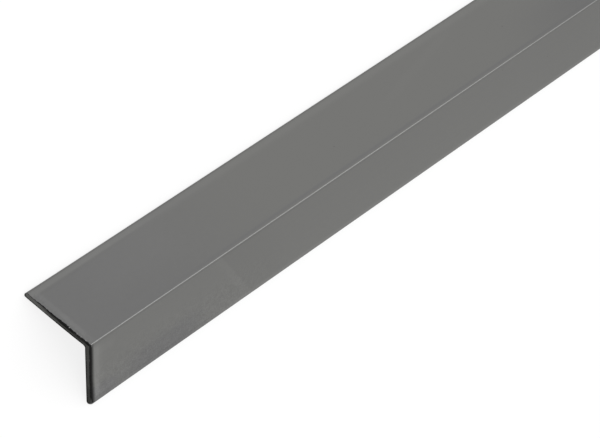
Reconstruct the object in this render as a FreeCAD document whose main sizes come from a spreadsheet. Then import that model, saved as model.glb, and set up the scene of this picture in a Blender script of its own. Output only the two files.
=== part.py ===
"""A length of bare steel angle with two equal legs, cut off square at both ends.

Part frame, in millimetres: X runs along the bar, with 0 at the middle of its length, and Z is up.
The bar lies as it rests by itself on a level floor: the heel, where the two legs meet, is on top,
and the toes, the free edges of the legs, stand on Z = 0, one on each side of Y = 0.

Section frame, in which the profile is drawn: the sharp corner of the heel is the origin. The back
leg runs along +Y with its outer face on Z = 0. The front leg runs along -Z with its outer face on
Y = 0. The bar's placement turns this frame about X until both toes are down.
"""
import FreeCAD, Part
import Sketcher
import math
import os

from FreeCAD import Vector

SIZES = {
    "length": (1000.0, "length that the bar is sold in"),
    "leg_width": (25.0, "outer width of each leg, from the heel to the toe"),
    "wall": (2.0, "thickness of both legs"),
    "heel_radius": (0.4, "outer corner where the legs meet"),
    "root_radius": (0.8, "inner corner where the legs meet"),
    "toe_inner_radius": (0.2, "broken corner between a toe and its leg's inner face"),
    "toe_flat": (0.2, "flat left on a toe; its rolled outer corner takes the rest of the wall"),
    "draw_in_length": (1.3, "how far along the bar the cut has drawn the front leg's face in"),
    "draw_in_depth": (0.3, "how deep that face is drawn in at the cut"),
}

# Indices by which a sketch knows its own origin and axes, and the two ends of a line or an arc.
ORIGIN_INDEX = (-1, 1)
HORIZONTAL_AXIS_INDEX = -1
VERTICAL_AXIS_INDEX = -2
START_INDEX = 1
END_INDEX = 2

# The section frame's turn about X that brings both toes down to the same level.
REST_TURN_DEG = -45.0

# Volumes, in cubic millimetres, that differ by less than this are the same.
SAME_VOLUME = 1e-3


def add_size_sheet(document):
    """Put the driving sizes in a sheet, each with its name and what it measures."""
    sheet = document.addObject("Spreadsheet::Sheet", "Sizes")
    for row, (name, (value, meaning)) in enumerate(SIZES.items(), start=1):
        sheet.set(f"A{row}", name)
        sheet.set(f"B{row}", str(value))
        sheet.set(f"C{row}", meaning)
        sheet.setAlias(f"B{row}", name)
    document.recompute()


def size(name):
    """The value that a driving size starts with."""
    value, _ = SIZES[name]
    return value


def origin_plane(body, role):
    """The body's own origin plane with this role."""
    return next(feature for feature in body.Origin.OriginFeatures if feature.Role == role)


def add_sketch(body, name, role):
    """An empty sketch on one of the body's origin planes."""
    sketch = body.newObject("Sketcher::SketchObject", name)
    sketch.AttachmentSupport = [(origin_plane(body, role), "")]
    sketch.MapMode = "FlatFace"
    return sketch


def constrain(sketch, *constraint):
    """Add a constraint to a sketch and return its index."""
    return sketch.addConstraint(Sketcher.Constraint(*constraint))


def dimension(sketch, name, expression, *constraint):
    """Add a named dimension to a sketch and tie it to the size sheet."""
    sketch.renameConstraint(constrain(sketch, *constraint), name)
    sketch.setExpression(f"Constraints.{name}", expression)


def add_corner_arc(sketch, before, corner, after, radius):
    """Draw the arc that rounds a corner between two sides.

    Returns the arc, its end on the side before and its end on the side after. A sketch holds every
    arc anticlockwise, so where the outline turns right the arc starts on the side after.
    """
    incoming = (corner - before).normalize()
    outgoing = (after - corner).normalize()
    centre = corner + (outgoing - incoming) * radius
    from_centre_in = corner - incoming * radius - centre
    from_centre_out = corner + outgoing * radius - centre
    angle_in = math.atan2(from_centre_in.y, from_centre_in.x)
    angle_out = math.atan2(from_centre_out.y, from_centre_out.x)
    circle = Part.Circle(centre, Vector(0, 0, 1), radius)
    if incoming.cross(outgoing).z > 0:
        arc = sketch.addGeometry(Part.ArcOfCircle(circle, angle_in, angle_out), False)
        return arc, START_INDEX, END_INDEX
    arc = sketch.addGeometry(Part.ArcOfCircle(circle, angle_out, angle_in), False)
    return arc, END_INDEX, START_INDEX


def draw_section(sketch):
    """Draw the L with its rounded heel, root and toes, anticlockwise, fully tied to the sheet."""
    leg = size("leg_width")
    wall = size("wall")
    heel = size("heel_radius")
    root = size("root_radius")
    toe_inner = size("toe_inner_radius")
    toe_outer = wall - size("toe_flat") - toe_inner
    toe_outer_expression = "Sizes.wall - Sizes.toe_flat - Sizes.toe_inner_radius"
    corners = [
        ("heel", Vector(0, 0), heel, "Sizes.heel_radius"),
        ("front_toe_outer", Vector(0, -leg), toe_outer, toe_outer_expression),
        ("front_toe_inner", Vector(wall, -leg), toe_inner, "Sizes.toe_inner_radius"),
        ("root", Vector(wall, -wall), root, "Sizes.root_radius"),
        ("back_toe_inner", Vector(leg, -wall), toe_inner, "Sizes.toe_inner_radius"),
        ("back_toe_outer", Vector(leg, 0), toe_outer, toe_outer_expression),
    ]

    sides = []
    for index, (_, start, start_radius, _) in enumerate(corners):
        _, end, end_radius, _ = corners[(index + 1) % len(corners)]
        along = (end - start).normalize()
        line = Part.LineSegment(start + along * start_radius, end - along * end_radius)
        side = sketch.addGeometry(line, False)
        constrain(sketch, "Vertical" if abs(along.y) > abs(along.x) else "Horizontal", side)
        sides.append(side)

    for index, (name, corner, radius, expression) in enumerate(corners):
        before = corners[index - 1][1]
        after = corners[(index + 1) % len(corners)][1]
        arc, arc_in, arc_out = add_corner_arc(sketch, before, corner, after, radius)
        constrain(sketch, "Tangent", sides[index - 1], END_INDEX, arc, arc_in)
        constrain(sketch, "Tangent", arc, arc_out, sides[index], START_INDEX)
        dimension(sketch, f"{name}_radius", expression, "Radius", arc, radius)

    front_outer, front_toe, front_inner, back_inner, back_toe, back_outer = sides
    constrain(sketch, "PointOnObject", front_outer, START_INDEX, VERTICAL_AXIS_INDEX)
    constrain(sketch, "PointOnObject", back_outer, START_INDEX, HORIZONTAL_AXIS_INDEX)
    dimension(sketch, "back_leg_width", "Sizes.leg_width",
              "DistanceX", *ORIGIN_INDEX, back_toe, START_INDEX, leg)
    dimension(sketch, "front_leg_width", "Sizes.leg_width",
              "DistanceY", front_toe, START_INDEX, *ORIGIN_INDEX, leg)
    dimension(sketch, "front_wall", "Sizes.wall",
              "DistanceX", *ORIGIN_INDEX, front_inner, START_INDEX, wall)
    dimension(sketch, "back_wall", "Sizes.wall",
              "DistanceY", back_inner, START_INDEX, *ORIGIN_INDEX, wall)


def draw_drawn_in_corner(sketch):
    """Draw what the cut takes off the front leg's outer face, at the end where X is lowest.

    The face leaves its plane along an arc that starts level with it and meets the cut at an angle.
    """
    half_length = size("length") / 2
    reach = size("draw_in_length")
    depth = size("draw_in_depth")
    corner = Vector(-half_length, 0)
    on_face = corner + Vector(reach, 0)
    on_cut = corner + Vector(0, depth)
    radius = (reach ** 2 + depth ** 2) / (2 * depth)
    centre = on_face + Vector(0, radius)
    cut_angle = math.atan2(on_cut.y - centre.y, on_cut.x - centre.x)
    face_angle = math.atan2(on_face.y - centre.y, on_face.x - centre.x)
    circle = Part.Circle(centre, Vector(0, 0, 1), radius)

    cut_side = sketch.addGeometry(Part.LineSegment(on_cut, corner), False)
    face_side = sketch.addGeometry(Part.LineSegment(corner, on_face), False)
    arc = sketch.addGeometry(Part.ArcOfCircle(circle, cut_angle, face_angle), False)
    constrain(sketch, "Vertical", cut_side)
    constrain(sketch, "Coincident", cut_side, END_INDEX, face_side, START_INDEX)
    constrain(sketch, "Coincident", arc, START_INDEX, cut_side, START_INDEX)
    constrain(sketch, "Tangent", face_side, END_INDEX, arc, END_INDEX)
    constrain(sketch, "PointOnObject", face_side, START_INDEX, HORIZONTAL_AXIS_INDEX)
    constrain(sketch, "PointOnObject", face_side, END_INDEX, HORIZONTAL_AXIS_INDEX)
    dimension(sketch, "half_length", "Sizes.length / 2",
              "DistanceX", face_side, START_INDEX, *ORIGIN_INDEX, half_length)
    dimension(sketch, "draw_in_length", "Sizes.draw_in_length",
              "DistanceX", face_side, START_INDEX, face_side, END_INDEX, reach)
    dimension(sketch, "draw_in_depth", "Sizes.draw_in_depth",
              "DistanceY", cut_side, END_INDEX, cut_side, START_INDEX, depth)


def add_bar(body):
    """Run the section along the bar's length, half of it each way."""
    section = add_sketch(body, "section", "YZ_Plane")
    draw_section(section)
    bar = body.newObject("PartDesign::Pad", "bar")
    bar.Profile = section
    bar.SideType = "Symmetric"
    bar.setExpression("Length", "Sizes.length")
    body.Document.recompute()
    return bar


def add_draw_in(body, bar):
    """Draw the front leg's outer face in at one cut end, and the same at the other end."""
    corner = add_sketch(body, "drawn_in_corner", "XY_Plane")
    draw_drawn_in_corner(corner)
    draw_in = body.newObject("PartDesign::Pocket", "draw_in")
    draw_in.Profile = corner
    draw_in.SideType = "Symmetric"
    draw_in.Type = "ThroughAll"
    body.Document.recompute()

    other_end = body.newObject("PartDesign::Mirrored", "draw_in_at_other_end")
    other_end.Originals = [draw_in]
    other_end.MirrorPlane = (origin_plane(body, "YZ_Plane"), [""])
    body.Tip = other_end
    body.Document.recompute()

    cut_at_one_end = bar.Shape.Volume - draw_in.Shape.Volume
    cut_at_both_ends = bar.Shape.Volume - other_end.Shape.Volume
    if cut_at_one_end < SAME_VOLUME or abs(cut_at_both_ends - 2 * cut_at_one_end) > SAME_VOLUME:
        raise RuntimeError("the draw-in was not cut alike at both ends")


def lay_on_toes(body):
    """Turn the heel up and raise it until the toes' inner corners touch the floor."""
    turn = FreeCAD.Rotation(Vector(1, 0, 0), REST_TURN_DEG)
    body.Placement = FreeCAD.Placement(Vector(0, 0, 0), turn)
    body.setExpression(
        "Placement.Base.z",
        "(Sizes.leg_width + Sizes.wall) / sqrt(2) - Sizes.toe_inner_radius * (sqrt(2) - 1)",
    )


def add_angle_section(document):
    """The whole bar, which is one solid."""
    body = document.addObject("PartDesign::Body", "angle_section")
    body.Label = "angle_section"
    bar = add_bar(body)
    add_draw_in(body, bar)
    lay_on_toes(body)
    return body


def check(document, body):
    """Stop before anything is written if an object failed or the bar is not one sound solid."""
    for item in document.Objects:
        if {"Invalid", "Error"} & set(item.State):
            raise RuntimeError(f"{item.Label} could not be built")
    if body.Shape.isNull() or not body.Shape.isValid() or len(body.Shape.Solids) != 1:
        raise RuntimeError(f"{body.Label} is not one sound solid")


def write(body):
    """Write the bar's solid, and print what it measures."""
    os.makedirs("parts", exist_ok=True)
    body.Shape.exportStep(f"parts/{body.Label}.step")
    box = body.Shape.optimalBoundingBox()
    print(f"{body.Label}: {box.XLength:.3f} x {box.YLength:.3f} x {box.ZLength:.3f} mm,"
          f" lowest point {box.ZMin:.4f} mm, volume {body.Shape.Volume:.1f} mm3")


def main():
    document = FreeCAD.newDocument("angle")
    add_size_sheet(document)
    body = add_angle_section(document)
    document.recompute()
    check(document, body)
    write(body)


main()
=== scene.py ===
"""Looks of a length of bare steel angle, lying on its two toes with the heel up.

Everything is in metres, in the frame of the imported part: X along the bar with 0 at its middle, Z up,
the floor at Z = 0. The section frame is the one the profile is drawn in: the sharp corner of the heel
is its origin, the back leg runs along +Y with its outer face on Z = 0, and the front leg runs along
-Z with its outer face on Y = 0. The section frame is turned 45 degrees about X to lay the bar down.
The near end is the one at -X, which the photograph shows. The materials reckon in millimetres.
"""
import math

import bpy
import numpy as np
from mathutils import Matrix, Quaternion, Vector, noise


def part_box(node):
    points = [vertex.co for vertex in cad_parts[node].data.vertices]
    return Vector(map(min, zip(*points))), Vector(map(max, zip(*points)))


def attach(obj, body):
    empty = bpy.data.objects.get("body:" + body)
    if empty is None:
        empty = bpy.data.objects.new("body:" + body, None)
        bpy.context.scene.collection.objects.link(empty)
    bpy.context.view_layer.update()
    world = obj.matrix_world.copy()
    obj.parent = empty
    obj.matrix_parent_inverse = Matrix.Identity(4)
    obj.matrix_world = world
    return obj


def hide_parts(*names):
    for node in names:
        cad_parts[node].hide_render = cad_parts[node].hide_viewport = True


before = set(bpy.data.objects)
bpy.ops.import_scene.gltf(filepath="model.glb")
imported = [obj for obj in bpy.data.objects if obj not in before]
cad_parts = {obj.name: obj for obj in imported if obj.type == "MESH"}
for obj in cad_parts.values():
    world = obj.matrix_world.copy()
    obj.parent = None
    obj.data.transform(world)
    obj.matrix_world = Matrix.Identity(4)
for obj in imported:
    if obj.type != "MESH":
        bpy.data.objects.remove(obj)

MM = 0.001
ROOT_TWO = math.sqrt(2)
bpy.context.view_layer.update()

# The section and the drawn-in corner, at the sizes of the part.
LEG = 25.0 * MM
WALL = 2.0 * MM
HEEL_RADIUS = 0.4 * MM
ROOT_RADIUS = 0.8 * MM
TOE_INNER_RADIUS = 0.2 * MM
TOE_FLAT = 0.2 * MM
TOE_OUTER_RADIUS = WALL - TOE_FLAT - TOE_INNER_RADIUS
DRAW_IN_LENGTH = 1.3 * MM
DRAW_IN_DEPTH = 0.3 * MM
BAR_LOW, BAR_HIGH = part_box("angle_section")
HALF_LENGTH = (BAR_HIGH.x - BAR_LOW.x) / 2
HEEL_HEIGHT = (LEG + WALL) / ROOT_TWO - TOE_INNER_RADIUS * (ROOT_TWO - 1)

# The near cut is a little out of square. It is set back all over, by more on the front leg and at the
# heel, which fades out along the back leg, by less at the front leg's inner face, and by these shares
# of the way along each leg.
SET_BACK = 0.10 * MM
HEEL_SET_BACK = 0.37 * MM
HEEL_SET_BACK_REACH = 7.0 * MM
INNER_SET_BACK = -0.05 * MM
SKEW_ALONG_BACK_LEG = -0.004
SKEW_ALONG_FRONT_LEG = 0.0132
SKEW_FADES_OVER = 12.0 * MM

# The front toe's corner is worn off at each cut.
TOE_WEAR_DEPTH = 0.6 * MM
TOE_WEAR_LENGTH = 0.8 * MM
TOE_WEAR_HEIGHT = 2.5 * MM
TOE_WEAR_INNER_SHARE = 0.35

# The shears have spread both legs a little by each cut, and the toes are pressed flat on the floor there.
TOE_SPREAD = 0.13 * MM
TOE_SPREAD_REACH = 15.0 * MM
TOE_FLATTENED_HEIGHT = 0.3 * MM

# The edges of a cut: how far they are rounded off, and how ragged they are. Two noises add up along the
# ragged edge, with bumps of these two sizes.
OUTER_EDGE_ROUNDING = 0.10 * MM
INNER_EDGE_ROUNDING = 0.06 * MM
RAGGED_EDGE = 0.09 * MM
RAGGED_REACH = 0.16 * MM
RAGGED_FINE_BUMP = 0.55 * MM
RAGGED_COARSE_BUMP = 2.4 * MM
RAGGED_NOISE_SHARE = 0.6

# The burr along the back leg's outer edge: its section, its stretch of the leg, and its ups and downs.
BURR_HEIGHT = 0.07 * MM
BURR_WIDTH = 0.07 * MM
BURR_FROM_CUT = 0.06 * MM
BURR_STARTS_BETWEEN = (0.8 * MM, 2 * MM)
BURR_ENDS_BETWEEN = (8.5 * MM, 13 * MM)
BURR_BUMP = 1.1 * MM
BURR_SHARE = 0.45
BURR_SHARE_CHANGE = 0.75

# The cut face: a smooth sheared band along the outer faces, and a rougher broken zone behind it. The
# first four are shares of the way from the outer face to the inner one.
SHEARED_SHARE = 0.30
SHEARED_WAVE = 0.05
BREAK_STARTS_BEFORE = 0.03
BREAK_FULL_AFTER = 0.09
SHEARED_WAVE_BUMP = 0.9 * MM
BREAK_KEEPS_FROM_EDGE = 0.25 * MM
BREAK_RECESS = 0.07 * MM
BREAK_ROUGHNESS = 0.035 * MM
BREAK_FINE_BUMP = 0.5 * MM
BREAK_FINE_SHARE = 0.6
BREAK_COARSE_BUMP = 1.7 * MM
BREAK_COARSE_SHARE = 0.8

# The noise of the shapes. Its seeds pick slices that have nothing in common. Each cut, at the near (-1)
# or far (1) end, has six seeds from this one on: the burr's, two for the edge and three for the face.
NOISE_GAIN = 1.6
NOISE_SLICE = 17.3
CUT_SEEDS = {-1: 1, 1: 11}

# Points on each half of the outline, round the toe, along the leg, beside the heel and round the heel,
# and on each line across the wall.
TOE_POINTS = 11
LEG_POINTS = 106
HEEL_SIDE_POINTS = 9
HEEL_POINTS = 7
ACROSS_STEPS = 17

# Distances from a cut at which the outline is repeated, in millimetres, and how many more such places
# there are from there to the middle of the bar.
NEAR_RINGS = (0, .025, .055, .1, .16, .25, .36, .5, .65, .8, .95, 1.1, 1.3, 1.6, 2, 2.6, 3.5, 5, 7, 10,
              14, 20, 30, 45)
FAR_RING_COUNT = 12

# The bake map, in millimetres: the sides in strips along the bar, three to a column. The last few
# millimetres by each cut are drawn larger.
STRIP_LENGTH = 125.0
STRIP_GAP = 3.0
STRIPS_PER_COLUMN = 3
MAP_END_LENGTH = 5.0
MAP_END_SCALE = 3.0
CUT_MAP_SCALE = 1.15
MAP_MARGIN = 0.005

# Edges that turn by more than this are shaded as sharp.
SHARP_ANGLE_DEG = 40


def lay_down(points):
    """Section-frame points as part-frame points."""
    x, y, z = points[:, 0], points[:, 1], points[:, 2]
    return np.column_stack([x, (y + z) / ROOT_TWO, (z - y) / ROOT_TWO + HEEL_HEIGHT])


def arc(centre, radius, first_deg, last_deg, count):
    """Points on an arc, both ends included."""
    angles = np.radians(np.linspace(first_deg, last_deg, count))
    return np.column_stack([centre[0] + radius * np.cos(angles), centre[1] + radius * np.sin(angles)])


def line(start, end, count):
    """Evenly spaced points on a line, both ends included."""
    return np.linspace(start, end, count)


def smooth_step(values, start, end):
    """0 up to start, 1 from end on, with a soft rise between."""
    share = np.clip((values - start) / (end - start), 0, 1)
    return share * share * (3 - 2 * share)


def half_section():
    """The back leg's outer and inner outlines from the toe to the middle of the heel, in step."""
    toe_start = LEG - TOE_OUTER_RADIUS
    root_start = WALL + ROOT_RADIUS
    outer = [
        arc((toe_start, -TOE_OUTER_RADIUS), TOE_OUTER_RADIUS, 0, 90, TOE_POINTS),
        line((toe_start, 0), (root_start, 0), LEG_POINTS)[1:],
        line((root_start, 0), (HEEL_RADIUS, 0), HEEL_SIDE_POINTS)[1:],
        arc((HEEL_RADIUS, -HEEL_RADIUS), HEEL_RADIUS, 90, 135, HEEL_POINTS)[1:],
    ]
    toe_arc_points = TOE_POINTS // 2 + 1
    inner_toe = (LEG - TOE_INNER_RADIUS, TOE_INNER_RADIUS - WALL)
    inner = [
        arc(inner_toe, TOE_INNER_RADIUS, 0, -90, toe_arc_points),
        line((inner_toe[0], -WALL), (toe_start, -WALL), TOE_POINTS - toe_arc_points + 1)[1:],
        line((toe_start, -WALL), (root_start, -WALL), LEG_POINTS)[1:],
        arc((root_start, -root_start), ROOT_RADIUS, 90, 135, HEEL_SIDE_POINTS + HEEL_POINTS - 1)[1:],
    ]
    return np.vstack(outer), np.vstack(inner)


def whole_section():
    """Outer and inner outlines from the back toe round the heel to the front toe, in step."""
    outlines = []
    for half in half_section():
        mirrored = -half[::-1, ::-1]
        outlines.append(np.vstack([half, mirrored[1:]]))
    return outlines


OUTER, INNER = whole_section()
STEPS = len(OUTER)
ACROSS = np.linspace(0, 1, ACROSS_STEPS)


def section_border():
    """Grid indices (step along the outlines, step across the wall) of the closed outline, in order."""
    last = ACROSS_STEPS - 1
    outer_run = [(i, 0) for i in range(STEPS)]
    front_toe = [(STEPS - 1, j) for j in range(1, last)]
    inner_run = [(i, last) for i in range(STEPS - 1, -1, -1)]
    back_toe = [(0, j) for j in range(last - 1, 0, -1)]
    return outer_run + front_toe + inner_run + back_toe


BORDER = section_border()
BORDER_I = np.array([i for i, j in BORDER])
BORDER_J = np.array([j for i, j in BORDER])
GRID = OUTER[:, None, :] * (1 - ACROSS[None, :, None]) + INNER[:, None, :] * ACROSS[None, :, None]


def border_normals(points):
    """Outward unit normals of a closed outline in the section plane."""
    run = np.roll(points, -1, axis=0) - np.roll(points, 1, axis=0)
    normals = np.column_stack([run[:, 1], -run[:, 0]])
    return normals / np.linalg.norm(normals, axis=1)[:, None]


BORDER_POINTS = GRID[BORDER_I, BORDER_J]
BORDER_NORMALS = border_normals(BORDER_POINTS)


def wander(points, size, seed):
    """Smooth noise from about -1 to 1 at section points, with bumps of the given size."""
    values = [noise.noise(Vector((y / size, z / size, seed * NOISE_SLICE))) for y, z in points]
    return NOISE_GAIN * np.array(values)


def draw_in(distance):
    """How far the cut has drawn the front leg's outer face in at this distance from it."""
    radius = (DRAW_IN_LENGTH ** 2 + DRAW_IN_DEPTH ** 2) / (2 * DRAW_IN_DEPTH)
    reach = max(DRAW_IN_LENGTH - distance, 0)
    return radius - math.sqrt(radius ** 2 - reach ** 2)


def burr_share(seed):
    """How much of a burr stands on each border point: only along the back leg's outer edge."""
    y, z = BORDER_POINTS[:, 0], BORDER_POINTS[:, 1]
    on_edge = (BORDER_J == 0) * (z > -HEEL_RADIUS)
    along_leg = smooth_step(y, *BURR_STARTS_BETWEEN) * (1 - smooth_step(y, *BURR_ENDS_BETWEEN))
    height = BURR_SHARE + BURR_SHARE_CHANGE * wander(BORDER_POINTS, BURR_BUMP, seed)
    return on_edge * along_leg * np.clip(height, 0, 1)


def ragged_share(seed):
    """How far each border point of the cut strays along the bar, as a share of the full amount."""
    on_outer = (BORDER_J == 0) * 1.0
    fine = wander(BORDER_POINTS, RAGGED_FINE_BUMP, seed + 1)
    coarse = wander(BORDER_POINTS, RAGGED_COARSE_BUMP, seed + 2)
    return on_outer * (RAGGED_NOISE_SHARE * fine + RAGGED_NOISE_SHARE * coarse)


def wear_toe(ring, distance):
    """Lifts the front toe of an outline near the cut, where its corner is worn off, most of all outside."""
    missing = np.clip(1 - distance / TOE_WEAR_LENGTH, 0, 1)
    lift = TOE_WEAR_DEPTH * (1 - math.sqrt(1 - missing ** 2))
    share = 1 - (1 - TOE_WEAR_INNER_SHARE) * np.clip(ring[..., 0] / WALL, 0, 1)
    ring[..., 1] += lift * share * smooth_step(-ring[..., 1], LEG - TOE_WEAR_HEIGHT, LEG)


def spread_toes(ring, distance):
    """Lengthens both legs of an outline near the cut, where the shears have spread them."""
    spread = TOE_SPREAD * math.exp(-distance / TOE_SPREAD_REACH)
    ring[..., 0] += spread * smooth_step(ring[..., 0], LEG / 2, LEG)
    ring[..., 1] -= spread * smooth_step(-ring[..., 1], LEG / 2, LEG)
    flatten_toes(ring, spread / ROOT_TWO)


def flatten_toes(ring, dip):
    """Presses the lowest part of an outline that dips below the floor up to it."""
    height = (ring[..., 1] - ring[..., 0]) / ROOT_TWO + HEEL_HEIGHT
    squeezed = (height + dip) * TOE_FLATTENED_HEIGHT / (TOE_FLATTENED_HEIGHT + dip)
    lift = np.where(height < TOE_FLATTENED_HEIGHT, squeezed - height, 0) / ROOT_TWO
    ring[..., 0] -= lift
    ring[..., 1] += lift


def border_ring(distance, burr):
    """The outline at a distance from a cut: rounded off, burred, drawn in, spread and worn."""
    rounding = np.where(BORDER_J == 0, OUTER_EDGE_ROUNDING, INNER_EDGE_ROUNDING)
    short = np.clip(1 - distance / rounding, 0, 1)
    inset = rounding * (1 - np.sqrt(1 - short ** 2))
    rise = math.exp(-((distance - BURR_FROM_CUT) / BURR_WIDTH) ** 2)
    ring = BORDER_POINTS + BORDER_NORMALS * (BURR_HEIGHT * burr * rise - inset)[:, None]
    ring[:, 0] = np.maximum(ring[:, 0], draw_in(distance))
    spread_toes(ring, distance)
    wear_toe(ring, distance)
    return ring


def break_relief(grid, seed):
    """How far each point of the cut face lies back from the cut plane."""
    edge = SHEARED_SHARE + SHEARED_WAVE * wander(OUTER, SHEARED_WAVE_BUMP, seed + 3)
    edge = edge[:, None]
    behind = smooth_step(ACROSS[None, :], edge - BREAK_STARTS_BEFORE, edge + BREAK_FULL_AFTER)
    to_border = np.minimum(ACROSS, 1 - ACROSS)[None, :] * WALL
    inside = smooth_step(to_border, 0, BREAK_KEEPS_FROM_EDGE)
    points = grid.reshape(-1, 2)
    fine = wander(points, BREAK_FINE_BUMP, seed + 4).reshape(STEPS, ACROSS_STEPS)
    coarse = wander(points, BREAK_COARSE_BUMP, seed + 5).reshape(STEPS, ACROSS_STEPS)
    rough = BREAK_FINE_SHARE * fine + BREAK_COARSE_SHARE * coarse
    relief = behind * inside * (BREAK_RECESS + BREAK_ROUGHNESS * rough)
    relief[0] = 0
    relief[-1] = 0
    return relief


def skewed(distance, section):
    """How far the out-of-square cut sets section points back at a distance from the near end."""
    fade = max(1 - distance / SKEW_FADES_OVER, 0) ** 2
    out, down = section[..., 0], -section[..., 1]
    by_heel = HEEL_SET_BACK * np.exp(-np.maximum(out - WALL, 0) / HEEL_SET_BACK_REACH)
    inner = INNER_SET_BACK * np.clip(out / WALL, 0, 1) * smooth_step(down, WALL, 2 * WALL)
    return fade * (SET_BACK + by_heel + inner + SKEW_ALONG_BACK_LEG * out + SKEW_ALONG_FRONT_LEG * down)


def border_lengths():
    """Distance along the closed outline of each border point, and of the first one met again."""
    closed = np.vstack([BORDER_POINTS, BORDER_POINTS[:1]])
    return np.concatenate([[0], np.cumsum(np.linalg.norm(np.diff(closed, axis=0), axis=1))])


def map_place(side, distance):
    """Place along the bake map's drawn-out bar, at a distance from the near (-1) or far (1) cut."""
    half = HALF_LENGTH / MM + MAP_END_LENGTH * (MAP_END_SCALE - 1)
    drawn = distance + min(distance, MAP_END_LENGTH) * (MAP_END_SCALE - 1)
    return half + side * (half - drawn)


class BakeMap:
    """Lays the faces out on one sheet in millimetres, so that the long bar fills a square map."""

    def __init__(self):
        self.corners = []
        self.around = border_lengths() / MM
        self.strip = -1
        self.strip_start = 0.0
        self.strip_end = -1.0

    def add_row(self, start, end):
        """The faces between two rings, on the strip they fit on."""
        if self.strip < 0 or end - self.strip_start > STRIP_LENGTH:
            self.strip += 1
            self.strip_start = start
        column, row = divmod(self.strip, STRIPS_PER_COLUMN)
        across = column * (STRIP_LENGTH + STRIP_GAP) - self.strip_start
        down = row * (self.around[-1] + STRIP_GAP)
        self.strip_end = across + end
        u = (across + start, across + end)
        for first, last in zip(self.around + down, self.around[1:] + down):
            self.corners += [(u[0], first), (u[0], last), (u[1], last), (u[1], first)]

    def add_cut(self, side, quads):
        """A cut face, in the room that the short last strip leaves."""
        row = self.strip % STRIPS_PER_COLUMN
        across = self.strip_end + STRIP_GAP
        width = LEG / MM * CUT_MAP_SCALE
        down = row * (self.around[-1] + STRIP_GAP) + (0 if side < 0 else width + STRIP_GAP)
        for y, z in quads.reshape(-1, 2) / MM * CUT_MAP_SCALE:
            self.corners.append((across + (width - y if side < 0 else y), down - z))

    def write(self, mesh):
        """Adds the map to the mesh, turned right side up and scaled to fit the unit square."""
        sheet = np.array(self.corners) * (1, -1)
        low = sheet.min(axis=0)
        size = (sheet.max(axis=0) - low).max()
        sheet = (sheet - low) / size * (1 - 2 * MAP_MARGIN) + MAP_MARGIN
        layer = mesh.uv_layers.new(name="OFBake")
        layer.data.foreach_set("uv", sheet.astype(np.float32).ravel())


class BarMesh:
    """Collects the points and faces of the bar, with what the materials need to know of each point."""

    def __init__(self):
        self.points = []
        self.faces = []
        self.depth = []
        self.from_cut = []
        self.bake_map = BakeMap()

    def add_points(self, side, distance, back, section, depth):
        """Adds section points at a distance from the near (-1) or far (1) end and returns the first index."""
        first = len(self.points)
        set_back = distance + back
        if side < 0:
            set_back = set_back + skewed(distance, section)
        for x, (y, z), across in zip(side * (HALF_LENGTH - set_back), section, depth):
            self.points.append((x, y, z))
            self.depth.append(across)
            self.from_cut.append(distance / MM)
        return first

    def add_rings(self):
        """The sides of the bar from the near end to the far end; returns the first points of both ends."""
        far = np.linspace(NEAR_RINGS[-1] * MM, HALF_LENGTH, FAR_RING_COUNT + 1)[1:]
        places = [d * MM for d in NEAR_RINGS] + list(far)
        spans = [(-1, d) for d in places] + [(1, d) for d in places[-2::-1]]
        firsts = []
        for side, distance in spans:
            seed = CUT_SEEDS[side]
            stray = RAGGED_EDGE * ragged_share(seed) * math.exp(-distance / RAGGED_REACH)
            ring = border_ring(distance, burr_share(seed))
            firsts.append(self.add_points(side, distance, stray, ring, ACROSS[BORDER_J]))
        count = len(BORDER)
        along = [map_place(side, distance / MM) for side, distance in spans]
        for row in range(len(firsts) - 1):
            a = firsts[row]
            b = firsts[row + 1]
            for k in range(count):
                m = (k + 1) % count
                self.faces.append((a + k, a + m, b + m, b + k))
            self.bake_map.add_row(along[row], along[row + 1])
        return firsts[0], firsts[-1]

    def add_cut_face(self, side, first):
        """The face of one cut, joined to the border points that start at first."""
        seed = CUT_SEEDS[side]
        ids = np.full((STEPS, ACROSS_STEPS), -1)
        ids[BORDER_I, BORDER_J] = first + np.arange(len(BORDER))
        grid = GRID.copy()
        grid[BORDER_I, BORDER_J] = border_ring(0, burr_share(seed))
        for i in range(1, STEPS - 1):
            grid[i] = line(grid[i, 0], grid[i, -1], ACROSS_STEPS)
        ragged = np.zeros((STEPS, ACROSS_STEPS))
        ragged[BORDER_I, BORDER_J] = RAGGED_EDGE * ragged_share(seed)
        fade = 1 - smooth_step(ACROSS, 0, SHEARED_SHARE)
        back = break_relief(grid, seed) + ragged[:, :1] * fade[None, :]
        rows, columns = np.nonzero(ids < 0)
        added = self.add_points(side, 0.0, back[rows, columns], grid[rows, columns], ACROSS[columns])
        ids[rows, columns] = added + np.arange(len(rows))
        quads = []
        for i in range(STEPS - 1):
            for j in range(ACROSS_STEPS - 1):
                steps = ((i, j), (i + 1, j), (i + 1, j + 1), (i, j + 1))
                if side < 0:
                    steps = steps[::-1]
                self.faces.append(tuple(ids[step] for step in steps))
                quads.append([grid[step] for step in steps])
        self.bake_map.add_cut(side, np.array(quads))

    def finish(self, name):
        """The mesh, with its bake map and the attributes that its materials read."""
        section = np.array(self.points)
        mesh = bpy.data.meshes.new(name)
        mesh.from_pydata([tuple(p) for p in lay_down(section)], [], self.faces)
        self.bake_map.write(mesh)
        mesh.update()
        for key, values in (("depth", self.depth), ("from_cut", self.from_cut)):
            attribute = mesh.attributes.new(key, "FLOAT", "POINT")
            attribute.data.foreach_set("value", np.array(values, dtype=np.float32))
        place = section / MM
        place[:, 0] += HALF_LENGTH / MM
        attribute = mesh.attributes.new("place", "FLOAT_VECTOR", "POINT")
        attribute.data.foreach_set("vector", place.astype(np.float32).ravel())
        return mesh


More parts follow.
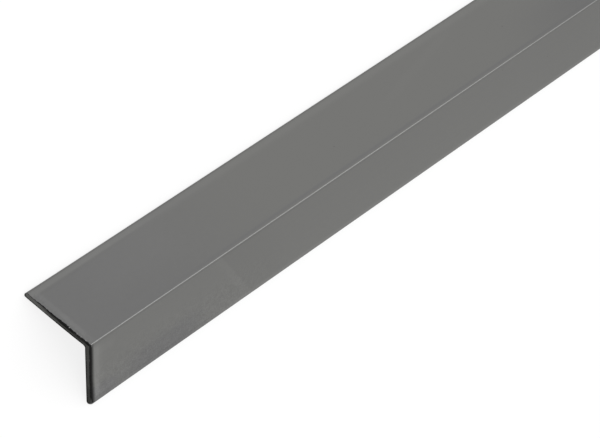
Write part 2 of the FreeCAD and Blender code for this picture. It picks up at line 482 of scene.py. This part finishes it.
class Nodes:
    """Builds one material. Inputs are plain values or the outputs of other nodes."""

    def __init__(self, name):
        self.material = bpy.data.materials.new(name)
        self.material.use_nodes = True
        self.tree = self.material.node_tree
        self.shader = self.tree.nodes["Principled BSDF"]

    def join(self, value, socket):
        """Sets a socket to a plain value, or links a node's output to it."""
        if isinstance(value, bpy.types.NodeSocket):
            self.tree.links.new(value, socket)
        else:
            socket.default_value = value

    def dress(self, inputs):
        """Sets or joins inputs of the shader, and returns the material."""
        for key, value in inputs.items():
            self.join(value, self.shader.inputs[key])
        return self.material

    def add(self, kind, inputs, output=0, **settings):
        """A new node's output."""
        node = self.tree.nodes.new(kind)
        for key, value in settings.items():
            setattr(node, key, value)
        for key, value in inputs.items():
            self.join(value, node.inputs[key])
        return node.outputs[output]

    def math(self, operation, *values):
        """One operation on numbers."""
        return self.add("ShaderNodeMath", dict(enumerate(values)), operation=operation)

    def vector_math(self, operation, *values, output=0):
        """One operation on vectors or colours."""
        return self.add("ShaderNodeVectorMath", dict(enumerate(values)), output, operation=operation)

    def scaled(self, vector, factor):
        """A vector or colour times a number."""
        return self.add("ShaderNodeVectorMath", {0: vector, "Scale": factor}, operation="SCALE")

    def chain(self, operation, values):
        """What one operation makes of the values, taken up one after another."""
        result = values[0]
        for value in values[1:]:
            result = self.math(operation, result, value)
        return result

    def product(self, *values):
        """The values multiplied together."""
        return self.chain("MULTIPLY", values)

    def largest(self, *values):
        """The largest of the values."""
        return self.chain("MAXIMUM", values)

    def opposite(self, mask):
        """1 where a mask is 0, and 0 where it is 1."""
        return self.math("SUBTRACT", 1.0, mask)

    def shades(self, start, parts):
        """start plus each amount times its mask."""
        total = start
        for amount, mask in parts:
            total = self.math("MULTIPLY_ADD", mask, amount, total)
        return total

    def fade(self, value, start, end, low=0.0, high=1.0):
        """low up to start, high from end on, with a soft change between."""
        limits = {"Value": value, "From Min": start, "From Max": end, "To Min": low, "To Max": high}
        return self.add("ShaderNodeMapRange", limits, interpolation_type="SMOOTHSTEP")

    def fall(self, value, start, end):
        """1 up to start, 0 from end on, with a soft change between."""
        return self.fade(value, start, end, 1.0, 0.0)

    def band(self, value, start, end, soft):
        """1 from start to end, and 0 beyond the soft distance outside them."""
        return self.product(self.fade(value, start - soft, start), self.fall(value, end, end + soft))

    def noise(self, vector, kind):
        """Noise from about -0.5 to 0.5, of a kind given by its scale, detail and roughness."""
        scale, detail, roughness = kind
        inputs = {"Vector": vector, "Scale": scale, "Detail": detail, "Roughness": roughness}
        return self.math("SUBTRACT", self.add("ShaderNodeTexNoise", inputs), 0.5)

    def spots(self, vector, centres, core, radius):
        """1 within the core of each spot, and 0 beyond its radius."""
        total = 0.0
        for centre in centres:
            distance = self.vector_math("DISTANCE", vector, centre, output="Value")
            total = self.math("ADD", self.fall(distance, core, radius), total)
        return total

    def bump(self, height, strength, distance):
        """The shading that a height gives, as a normal."""
        return self.add("ShaderNodeBump", {"Height": height, "Strength": strength, "Distance": distance})

    def attribute(self, name, output="Fac"):
        """What the mesh carries under a name."""
        return self.add("ShaderNodeAttribute", {}, output, attribute_name=name)

    def place(self):
        """The point's place in the section frame, in millimetres, and its parts: along, y and z."""
        vector = self.attribute("place", "Vector")
        split = self.tree.nodes.new("ShaderNodeSeparateXYZ")
        self.tree.links.new(vector, split.inputs[0])
        return vector, split.outputs[0], split.outputs[1], split.outputs[2]


class Surface:
    """Where a point of the bar lies, in millimetres, and areas that its shade and its tint both follow.

    Its depth is 0 at the outer faces and 1 at the inner ones.
    """

    def __init__(self, nodes):
        self.place, self.along, self.y, z = nodes.place()
        self.from_cut = nodes.attribute("from_cut")
        self.depth = nodes.attribute("depth")
        down = nodes.math("MULTIPLY", z, -1.0)
        self.from_heel = nodes.math("MAXIMUM", self.y, down)
        self.front = nodes.math("GREATER_THAN", down, self.y)
        self.back = nodes.opposite(self.front)
        self.outside = nodes.math("LESS_THAN", self.depth, 0.5)
        self.back_outside = nodes.product(self.back, self.outside)
        self.front_outside = nodes.product(self.front, self.outside)
        self.low_corner = nodes.product(
            nodes.fade(self.from_heel, 16.5, 19.5),
            nodes.fall(self.from_cut, 7.0, 13.0),
            self.front_outside,
        )
        self.by_heel = nodes.product(
            nodes.band(self.from_heel, 1.1, 1.25, 0.75),
            nodes.fade(self.along, 12.0, 40.0),
            self.back_outside,
        )
        self.far_shade = nodes.product(
            nodes.band(self.along, 205.0, 230.0, 45.0),
            nodes.fall(self.from_heel, 4.0, 17.0),
            self.back_outside,
        )


# Distances on the surface are in millimetres from here on, as they are in what the mesh carries.
LEG_MM = LEG / MM

NEUTRAL_STEEL = (0.171, 0.171, 0.170)
WARM_STEEL = (0.183, 0.183, 0.1765)
STEEL_METALLIC = 0.9
STEEL_SPECULAR = 0.3
STEEL_ROUGHNESS = 0.42

# The dull skin of the steel keeps it from brightening at a glancing angle.
STEEL_EDGE_TINT = (0.75, 0.75, 0.75, 1)

# The noises of the rolled steel: scale for a vector in millimetres, detail and roughness.
GRAIN = (2.1, 2.0, 0.6)
FINE = (1.15, 3.0, 0.65)
BLOTCHES = (0.5, 2.0, 0.6)
CLOUDS = (0.045, 2.0, 0.5)
RAGGED = (1.3, 3.0, 0.6)
STREAKS = (1.0, 3.0, 0.55)
STREAK_STRETCH = (0.03, 1.3, 1.3)

# Strength and height of the bump in the rolled steel.
STEEL_BUMP = (0.25, 0.012 * MM)

# Tiny dark specks: distance along the bar, then y and z in the section frame, all in millimetres.
SPECKS = ((97.6, 8.9, 0), (169.9, 11.0, 0), (179.5, 0, -10.2), (158.2, 0, -2.6), (331.0, 15.2, 0),
          (462.0, 0, -17.0), (640.0, 6.1, 0), (788.5, 0, -8.4), (871.0, 18.3, 0))
SPECK_CORE = 0.15
SPECK_RADIUS = 0.3

# Painted glints on the burr along the back leg's edge: distance from the cut, then y, in millimetres, and 0.
GLINTS = ((0.36, 8.0, 0), (0.36, 5.1, 0), (0.36, 3.7, 0), (0.40, 2.0, 0))
GLINT_CORE = 0.096
GLINT_RADIUS = 0.24
GLINT_SHADE = 1.6


def back_leg_shades(nodes, at, ragged):
    """How much the back leg's outer face departs from plain steel, as a share of its colour.

    It has a faint light frame along its toe and cut, a darker strip by the heel, and streaks.
    """
    # The light bands by the toe and cut are painted light where the face slopes there.
    far_along = nodes.fade(at.along, 25.0, 55.0)
    near_by = nodes.opposite(far_along)
    crisp_band = nodes.product(nodes.fade(at.from_heel, LEG_MM - 3.2, LEG_MM - 2.4), near_by)
    soft_band = nodes.product(nodes.fade(at.from_heel, LEG_MM - 4.6, LEG_MM - 2.2), far_along)
    toe_band = nodes.math("ADD", crisp_band, soft_band)
    near_toe_band = nodes.product(toe_band, nodes.fall(at.from_cut, 25.0, 60.0))
    inside_frame = nodes.product(nodes.band(at.from_heel, LEG_MM - 3.7, LEG_MM - 3.3, 0.5), near_by)

    wavy_cut = nodes.math("MULTIPLY_ADD", ragged, 1.6, at.from_cut)
    cut_band = nodes.product(nodes.band(wavy_cut, 1.65, 2.15, 0.85), nodes.fade(at.y, 1.0, 7.0, 0.35, 1.0))
    cut_streak = nodes.product(nodes.band(wavy_cut, 1.3, 2.0, 0.7), nodes.band(at.from_heel, 4.0, 11.0, 4.0))
    by_cut = nodes.band(at.from_cut, 0.5, 1.4, 0.4)

    pale_patch = nodes.product(nodes.band(at.along, 20.0, 35.0, 12.0), nodes.fade(at.from_heel, 5.0, 14.0))
    slant = nodes.math("MULTIPLY_ADD", at.along, -0.26, at.from_heel)
    streak = nodes.product(nodes.band(slant, -20.8, -19.6, 1.6), nodes.band(at.along, 128.0, 150.0, 14.0))
    return nodes.shades(0.0, (
        (0.085, nodes.largest(toe_band, cut_band)),
        (0.03, near_toe_band),
        (0.04, cut_streak),
        (0.012, by_cut),
        (0.3, nodes.product(by_cut, ragged)),
        (0.028, pale_patch),
        (-0.02, inside_frame),
        (-0.01, at.by_heel),
        (-0.05, at.far_shade),
        (0.018, streak),
    ))


def front_leg_shades(nodes, at, patch, ragged):
    """The same for the front leg's outer face.

    It has light bands by the cut and the toe, dark lines, a stain and a slanting mark.
    """
    heel_line = nodes.product(
        nodes.band(at.from_heel, 0.5, 0.85, 0.35),
        nodes.fade(at.along, 90.0, 170.0, 1.0, 0.6),
    )
    # The light bands by the cut and the toe are painted light where the face slopes there.
    below_heel = nodes.fade(at.from_heel, 0.8, 2.8)
    cut_band = nodes.product(nodes.band(at.from_cut, 1.85, 2.6, 0.85), below_heel)
    cut_glow = nodes.product(nodes.fall(at.from_cut, 2.4, 6.0), below_heel)
    high_glow = nodes.product(nodes.band(at.from_heel, 3.8, 5.0, 1.6), nodes.band(at.from_cut, 3.2, 7.5, 2.0))
    notch = nodes.product(nodes.band(at.from_cut, 4.0, 5.4, 1.0), nodes.band(at.from_heel, 18.2, 19.6, 1.2))
    farther = nodes.fade(at.along, 165.0, 195.0)

    toe_dark = nodes.product(
        nodes.fade(at.from_heel, LEG_MM - 4.0, LEG_MM - 2.4),
        nodes.band(at.from_cut, 1.9, 3.0, 1.0),
        nodes.math("MULTIPLY_ADD", ragged, 1.4, 1.0),
    )
    toe_shade = nodes.product(
        nodes.fade(at.from_heel, LEG_MM - 3.4, LEG_MM - 1.8),
        nodes.fall(at.from_cut, 4.0, 16.0),
    )
    toe_band = nodes.product(
        nodes.fade(at.from_heel, LEG_MM - 3.4, LEG_MM - 0.8),
        nodes.fade(at.along, 42.0, 52.0),
    )
    toe_line = nodes.product(
        nodes.band(at.from_heel, LEG_MM - 2.9, LEG_MM - 2.4, 0.5),
        nodes.fall(at.along, 38.0, 50.0),
    )
    toe_peak = nodes.band(at.from_heel, LEG_MM - 2.1, LEG_MM - 1.9, 0.8)

    slant = nodes.math("MULTIPLY_ADD", at.from_heel, -0.55, at.along)
    beyond_mark = nodes.fade(slant, 45.7, 46.5)
    mark_light = nodes.product(nodes.fade(slant, 41.5, 45.2), nodes.fall(slant, 45.6, 46.3))
    mark_dark = nodes.product(beyond_mark, nodes.fall(slant, 54.0, 68.0))
    return nodes.shades(0.0, (
        (-0.095, heel_line),
        (0.10, cut_band),
        (0.075, cut_glow),
        (-0.008, beyond_mark),
        (-0.02, farther),
        (0.045, high_glow),
        (-0.055, notch),
        (0.025, at.low_corner),
        (-0.115, toe_dark),
        (-0.09, toe_shade),
        (0.13, toe_band),
        (0.06, toe_peak),
        (-0.075, toe_line),
        (-0.04, patch),
        (0.035, mark_light),
        (-0.02, mark_dark),
    ))


def mottle_shades(nodes, at, fine):
    """The mottle by the cuts: strong on the front leg, most of all by its toe, and faint on the back leg."""
    grain = nodes.noise(at.place, GRAIN)
    blotches = nodes.noise(at.place, BLOTCHES)
    near = nodes.fade(at.from_cut, 45.0, 75.0, 1.0, 0.12)
    to_toe = nodes.fade(at.from_heel, 6.0, 18.0, 0.12, 1.0)
    front = nodes.shades(grain, ((0.4, fine), (0.5, blotches)))
    back = nodes.math("ADD", blotches, fine)
    return (
        (0.75, nodes.product(front, near, to_toe, at.front)),
        (0.05, nodes.product(back, near, at.back)),
    )


def heel_painted_highlight(nodes, at):
    """1 on the painted highlight along the heel, partly rubbed bright metal, leaning to the front leg in
    part.
    """
    leaning = nodes.band(at.along, 40.0, 120.0, 25.0)
    on_back = nodes.math("MULTIPLY_ADD", leaning, 0.17, 1.15)
    on_front = nodes.math("MULTIPLY_ADD", leaning, -0.42, 0.12)
    narrowing = nodes.math("MULTIPLY_ADD", at.front, on_front, on_back)
    return nodes.product(nodes.fall(nodes.product(at.from_heel, narrowing), 0.15, 0.34), at.outside)


def front_edge_painted_shade(nodes, at):
    """What the painted shade leaves of the front leg's light: it darkens the drawn-in strip by the cut."""
    reach = nodes.fade(at.from_heel, 14.0, 22.0, 1.0, 0.82)
    start = nodes.fade(at.from_heel, 7.0, 12.0, 0.36, 0.24)
    strip = nodes.fade(nodes.product(at.from_cut, reach), start, 1.56, 0.035, 1.0)
    worn_tip = nodes.fade(at.from_heel, LEG_MM - 1.6, LEG_MM - 1.0, 0.0, 0.8)
    worn_edge = nodes.product(
        nodes.fade(at.from_heel, LEG_MM - 3.5, LEG_MM - 2.0),
        nodes.fade(at.from_cut, 0.1, 0.3, 0.4, 0.0),
    )
    by_corner = nodes.product(
        nodes.fade(at.from_heel, 0.5, 1.6, 0.75, 0.0),
        nodes.fade(at.from_cut, 0.4, 0.65),
    )
    return nodes.largest(strip, worn_tip, worn_edge, by_corner, nodes.opposite(at.front_outside))


def back_edge_painted_shade(nodes, at, ragged):
    """The same for the back leg, where the painted shade covers only the very edge of the cut."""
    wider = nodes.band(at.y, 8.8, 11.0, 2.2)
    narrower = nodes.fade(at.y, 19.3, 20.9, 1.0, 2.3)
    from_painted_shade = nodes.math("MULTIPLY_ADD", wider, -0.17, at.from_cut)
    wavy_edge = nodes.product(nodes.math("MULTIPLY_ADD", ragged, 0.8, from_painted_shade), narrower)
    darkest = nodes.fade(at.y, 19.3, 20.9, 0.06, 0.3)
    edge = nodes.fade(wavy_edge, 0.30, 0.40, darkest, 1.0)
    return nodes.largest(edge, nodes.opposite(at.back_outside))


def steel_tint(nodes, at, patch, heel):
    """Neutral grey on the back leg near its cut and in some areas, and warm grey elsewhere."""
    back_toe = nodes.fade(at.y, LEG_MM - 3.6, LEG_MM - 2.8, 0.0, 0.5)
    warm = nodes.largest(nodes.fade(at.from_cut, 15.0, 75.0), at.front, back_toe)
    front_patch = nodes.product(patch, at.front)
    neutral = nodes.largest(front_patch, at.low_corner, at.by_heel, at.far_shade, heel)
    warmth = nodes.product(warm, nodes.opposite(neutral))
    change = tuple(warmer - colder for warmer, colder in zip(WARM_STEEL, NEUTRAL_STEEL))
    return nodes.vector_math("MULTIPLY_ADD", warmth, change, NEUTRAL_STEEL)


def steel_material():
    """Bare rolled steel: even grey with faint bands along the edges, streaks and a mottle by the cut."""
    nodes = Nodes("rolled_steel")
    at = Surface(nodes)
    fine = nodes.noise(at.place, FINE)
    clouds = nodes.noise(at.place, CLOUDS)
    ragged = nodes.noise(at.place, RAGGED)
    streaks = nodes.noise(nodes.vector_math("MULTIPLY", at.place, STREAK_STRETCH), STREAKS)
    patch = nodes.product(nodes.band(at.along, 20.0, 32.0, 12.0), nodes.fade(at.from_heel, 12.0, 19.0))
    heel = heel_painted_highlight(nodes, at)
    # The rims are painted shade on the toes' rounded edges.
    rim = nodes.fade(at.from_heel, LEG_MM - 2.2, LEG_MM - 0.5)
    back_rim = nodes.fade(at.y, LEG_MM - 1.5, LEG_MM - 0.9)

    shade = nodes.shades(1.0, (
        (at.back_outside, back_leg_shades(nodes, at, ragged)),
        (at.front_outside, front_leg_shades(nodes, at, patch, ragged)),
        (-0.10, nodes.product(rim, at.outside)),
        (-0.18, nodes.product(back_rim, at.outside)),
        (-0.05, nodes.opposite(at.outside)),
        (0.035, streaks),
        (0.03, clouds),
        (-0.2, nodes.spots(at.place, SPECKS, SPECK_CORE, SPECK_RADIUS)),
        # Painted highlight along the heel, fainter farther along the bar.
        (0.56, nodes.product(heel, nodes.fade(at.along, 100.0, 190.0, 1.0, 0.75))),
        *mottle_shades(nodes, at, fine),
    ))
    # Painted shade along the edges by the cuts, over the drawn-in strip and the burred edge.
    shade = nodes.product(shade, front_edge_painted_shade(nodes, at), back_edge_painted_shade(nodes, at, ragged))
    # Painted glints: small bright spots on the burr, set into the colour.
    by_burr = nodes.add("ShaderNodeCombineXYZ", {0: at.from_cut, 1: at.y})
    glint = nodes.product(nodes.spots(by_burr, GLINTS, GLINT_CORE, GLINT_RADIUS), at.back_outside)
    shade = nodes.shades(nodes.product(shade, nodes.opposite(glint)), ((GLINT_SHADE, glint),))

    height = nodes.shades(0.0, ((1.0, fine), (0.6, streaks)))
    roughness = ((0.05, clouds), (0.08, streaks), (0.05, fine), (-0.1, heel))
    return nodes.dress({
        "Base Color": nodes.scaled(steel_tint(nodes, at, patch, heel), shade),
        "Metallic": STEEL_METALLIC,
        "Roughness": nodes.shades(STEEL_ROUGHNESS, roughness),
        "Specular IOR Level": STEEL_SPECULAR,
        "Specular Tint": STEEL_EDGE_TINT,
        "Normal": nodes.bump(height, *STEEL_BUMP),
    })


# The cut faces, with the same kinds of values.
# SHEARED_DARK is partly the cut's own dark steel, partly painted shade on the smooth band.
SHEARED_DARK = (0.006, 0.006, 0.0057)
BROKEN_GREY = (0.062, 0.062, 0.059)
CUT_METALLIC = 0.5
CUT_ROUGHNESS = 0.62
CUT_EDGE_TINT = (0.45, 0.45, 0.45, 1)
CUT_RAGGED = (1.1, 3.0, 0.6)
CUT_MOTTLE = (2.3, 4.0, 0.65)
CUT_BUMP = (0.5, 0.03 * MM)


def sheared_band(nodes, at, by_tip):
    """1 on the smooth dark band along the outer faces, less where it is paler, and 0 behind it."""
    ragged = nodes.noise(at.place, CUT_RAGGED)
    thinner_back = nodes.band(at.y, 6.0, 15.0, 2.0)
    thinner_front = nodes.fade(at.from_heel, 6.0, 14.0, 0.33, 0.24)
    depth = nodes.shades(at.depth, ((0.3, ragged), (0.05, thinner_back), (at.front, thinner_front)))
    paler = (
        (-0.3, nodes.band(at.y, 2.5, 5.5, 1.5)),
        (-0.4, nodes.band(at.y, 12.6, 13.3, 0.9)),
        (-0.1, nodes.band(at.y, 5.5, 12.0, 2.0)),
    )
    return nodes.product(
        nodes.fall(depth, 0.32, 0.48),
        nodes.math("MULTIPLY_ADD", by_tip, -0.8, 1.0),
        nodes.fade(at.y, 19.3, 20.8, 1.0, 0.4),
        nodes.fade(at.from_heel, 14.0, 17.0, 1.0, 0.84),
        nodes.fade(at.from_heel, LEG_MM - 3.4, LEG_MM - 2.4, 1.0, 0.15),
        nodes.shades(1.0, paler),
    )


def cut_material():
    """The sheared ends: a near-black smooth band by the outer faces, dull grey broken steel behind it."""
    nodes = Nodes("cut_steel")
    at = Surface(nodes)
    by_tip = nodes.product(nodes.fade(at.y, 11.0, 20.0), at.back)
    band = sheared_band(nodes, at, by_tip)
    rim = nodes.product(nodes.fade(at.depth, 0.74, 0.90), nodes.fade(at.y, 8.0, 11.0, 0.95, 0.75))
    tip = nodes.product(nodes.fade(at.y, LEG_MM - 0.75, LEG_MM - 0.3), 0.6)
    dark = nodes.largest(band, rim, tip)

    mottle = nodes.noise(at.place, CUT_MOTTLE)
    front_toe = nodes.product(nodes.fade(at.from_heel, 17.0, 19.0), at.front)
    dull = nodes.band(at.y, 4.0, 9.0, 1.5)
    grey = nodes.shades(1.0, ((0.9, mottle), (0.9, by_tip), (-0.25, front_toe), (-0.22, dull)))
    broken = nodes.scaled(BROKEN_GREY, grey)
    change = nodes.vector_math("SUBTRACT", SHEARED_DARK, broken)
    return nodes.dress({
        "Base Color": nodes.vector_math("MULTIPLY_ADD", dark, change, broken),
        "Metallic": CUT_METALLIC,
        "Roughness": nodes.shades(CUT_ROUGHNESS, ((-0.2, band), (0.1, mottle))),
        "Specular IOR Level": 0.0,
        "Specular Tint": CUT_EDGE_TINT,
        "Normal": nodes.bump(mottle, *CUT_BUMP),
    })


def place_object(name, data):
    """A new object in the scene."""
    thing = bpy.data.objects.new(name, data)
    bpy.context.scene.collection.objects.link(thing)
    return thing


def main_piece():
    """The bar: rolled steel sides and two sheared ends."""
    bar = BarMesh()
    near_first, far_first = bar.add_rings()
    side_faces = len(bar.faces)
    bar.add_cut_face(-1, near_first)
    bar.add_cut_face(1, far_first)
    mesh = bar.finish("steel_angle")
    mesh.materials.append(steel_material())
    mesh.materials.append(cut_material())
    which = np.zeros(len(mesh.polygons), dtype=np.int32)
    which[side_faces:] = 1
    mesh.polygons.foreach_set("material_index", which)
    mesh.polygons.foreach_set("use_smooth", np.ones(len(mesh.polygons), dtype=bool))
    mesh.set_sharp_from_angle(angle=math.radians(SHARP_ANGLE_DEG))
    piece = place_object("steel_angle", mesh)
    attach(piece, "root")
    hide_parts("angle_section")


# Where the camera stands and looks, fitted to the bar's edges in the photograph.
CAMERA_PLACE = Vector((-748.761, 116.433, 543.029)) * MM
CAMERA_TARGET = Vector((-426.989, -3.740, 19.009)) * MM
CAMERA_ROLL_DEG = 79.5814
CAMERA_CLIP = (0.01, 100)
LENS_MM = 139.85
SENSOR_WIDTH_MM = 36


def camera():
    """The photograph's viewpoint: from above the near end, with the frame turned along the bar."""
    data = bpy.data.cameras.new("camera")
    data.sensor_width = SENSOR_WIDTH_MM
    data.lens = LENS_MM
    data.clip_start, data.clip_end = CAMERA_CLIP
    viewer = place_object("camera", data)
    aim = (CAMERA_TARGET - CAMERA_PLACE).to_track_quat("-Z", "Y")
    roll = Quaternion((0, 0, 1), math.radians(CAMERA_ROLL_DEG))
    viewer.rotation_mode = "QUATERNION"
    viewer.rotation_quaternion = aim @ roll
    viewer.location = CAMERA_PLACE
    bpy.context.scene.camera = viewer


# The floor, and the share of it that is plain white where it is seen.
WHITE = (1, 1, 1, 1)
FLOOR_HALF_SIZE = 30.0
FLOOR_COLOUR = (0.97, 0.97, 0.97, 1)
FLOOR_WHITENING = 0.80


def floor_material():
    """Matt and pale, and by a share plain white for the camera and for rays that mirror or pass it on."""
    nodes = Nodes("floor")
    nodes.dress({"Base Color": FLOOR_COLOUR, "Roughness": 1.0, "Specular IOR Level": 0.0})
    path = nodes.tree.nodes.new("ShaderNodeLightPath")
    rays = ("Is Camera Ray", "Is Glossy Ray", "Is Transmission Ray")
    seen = nodes.largest(*[path.outputs[ray] for ray in rays])
    share = nodes.math("MULTIPLY", seen, FLOOR_WHITENING)
    white = nodes.add("ShaderNodeEmission", {"Color": WHITE})
    mix = nodes.add("ShaderNodeMixShader", {"Fac": share, 1: nodes.shader.outputs[0], 2: white})
    nodes.join(mix, nodes.tree.nodes["Material Output"].inputs["Surface"])
    return nodes.material


def floor():
    """A white floor that keeps the bar's soft shadow."""
    mesh = bpy.data.meshes.new("floor")
    s = FLOOR_HALF_SIZE
    mesh.from_pydata([(-s, -s, 0), (s, -s, 0), (s, s, 0), (-s, s, 0)], [], [(0, 1, 2, 3)])
    mesh.materials.append(floor_material())
    ground = place_object("floor", mesh)


# The surround, and the strip overhead: its size and place in metres, and its power in watts.
WORLD_STRENGTH = 1.0
STRIP_SIZE = (2.4, 0.4)
STRIP_POWER = 4
STRIP_PLACE = (0.3, 0, 1.1)


def light():
    """An even white surround, and one soft strip overhead that shines straight down."""
    world = bpy.data.worlds.new("world")
    bpy.context.scene.world = world
    world.use_nodes = True
    background = world.node_tree.nodes["Background"]
    background.inputs["Color"].default_value = WHITE
    background.inputs["Strength"].default_value = WORLD_STRENGTH
    strip = bpy.data.lights.new("strip", "AREA")
    strip.shape = "RECTANGLE"
    strip.size, strip.size_y = STRIP_SIZE
    strip.energy = STRIP_POWER
    lamp = place_object("strip", strip)
    lamp.location = STRIP_PLACE


main_piece()
floor()
light()
camera()
bpy.context.scene.view_settings.view_transform = "Standard"
